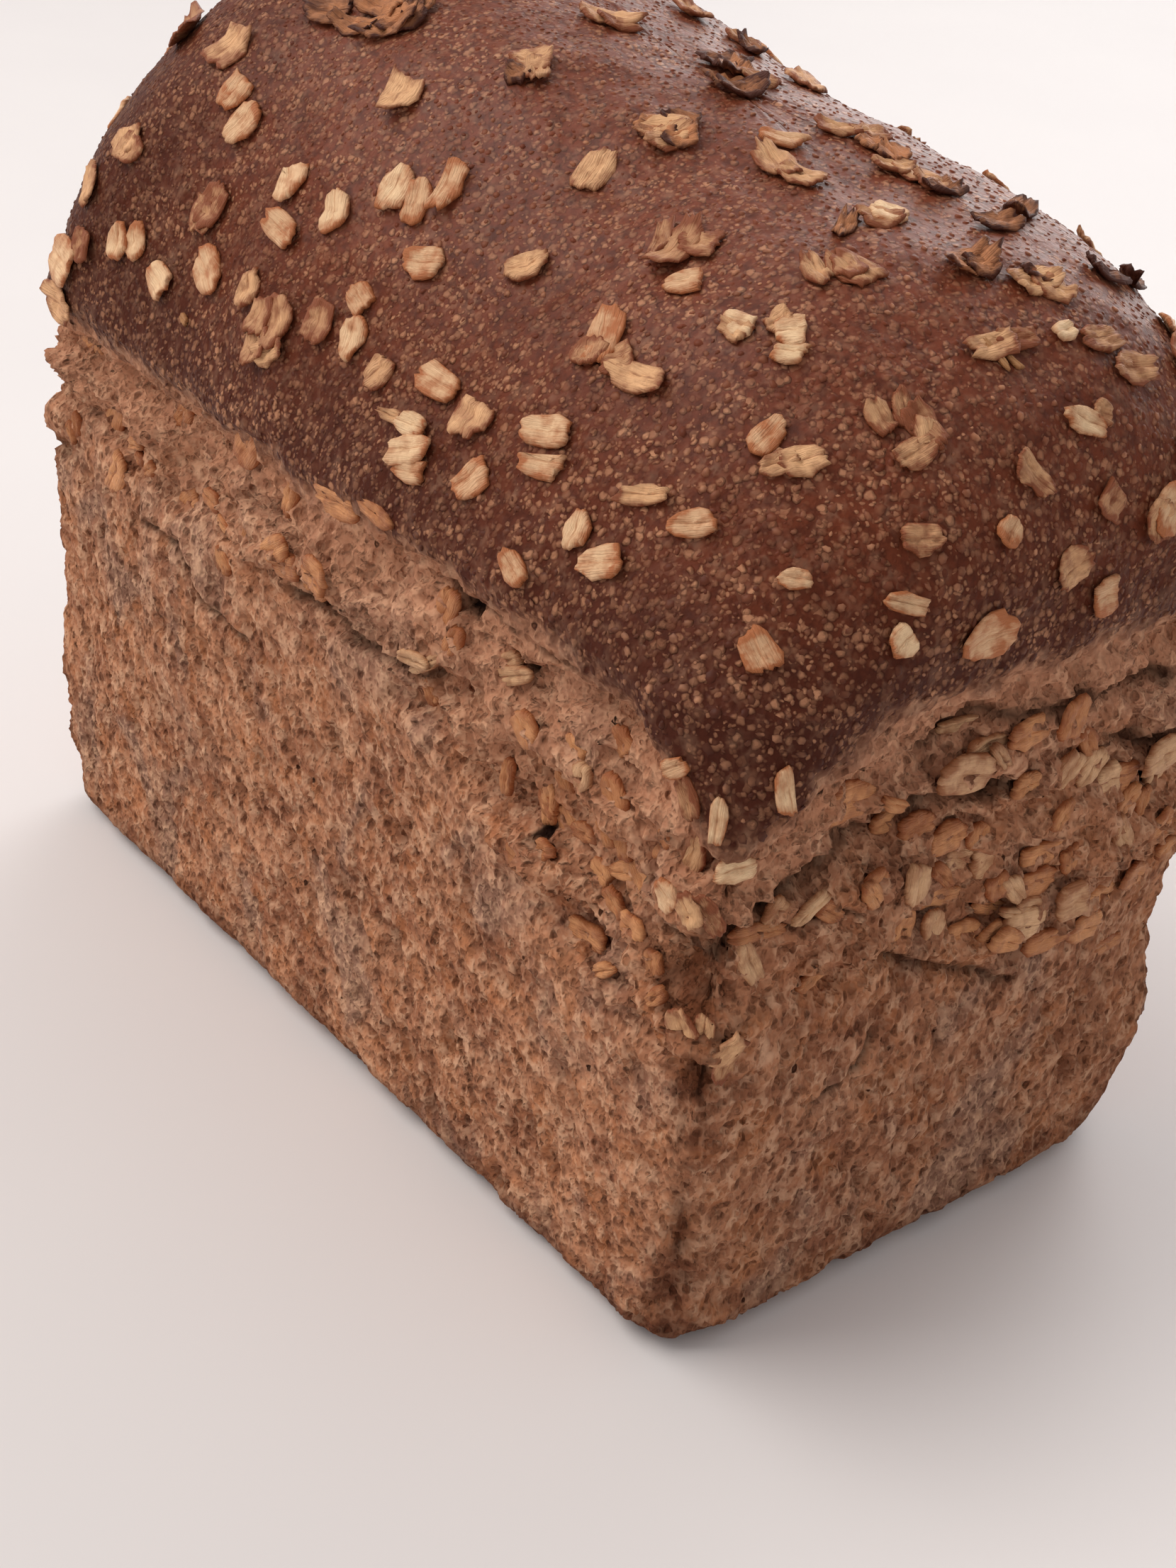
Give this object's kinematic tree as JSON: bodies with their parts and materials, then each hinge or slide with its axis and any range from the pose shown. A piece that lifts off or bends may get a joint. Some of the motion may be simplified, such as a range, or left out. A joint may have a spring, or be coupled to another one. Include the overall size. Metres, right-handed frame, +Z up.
{
  "type": "brown sourdough tin loaf",
  "caption": "Whole brown sourdough loaf baked in a tin, with a dark domed crust strewn with rolled oats and porous tan walls.",
  "frame": {"origin": "middle of the flat base that the loaf stands on", "axes": "+X along the loaf towards its lower end, +Z up to the crown"},
  "size_m": [0.2018, 0.1161, 0.1705],
  "materials": {
    "bread_crust": "baked crust: dark brown and faintly glossy on the dome with fine pale blisters, tan and porous on the tin walls",
    "oat_flake": "rolled oats, pale straw with toasted brown edges, matt"
  },
  "bodies": {
    "root": {"loaf": "bread_crust"}
  },
  "joints": []
}
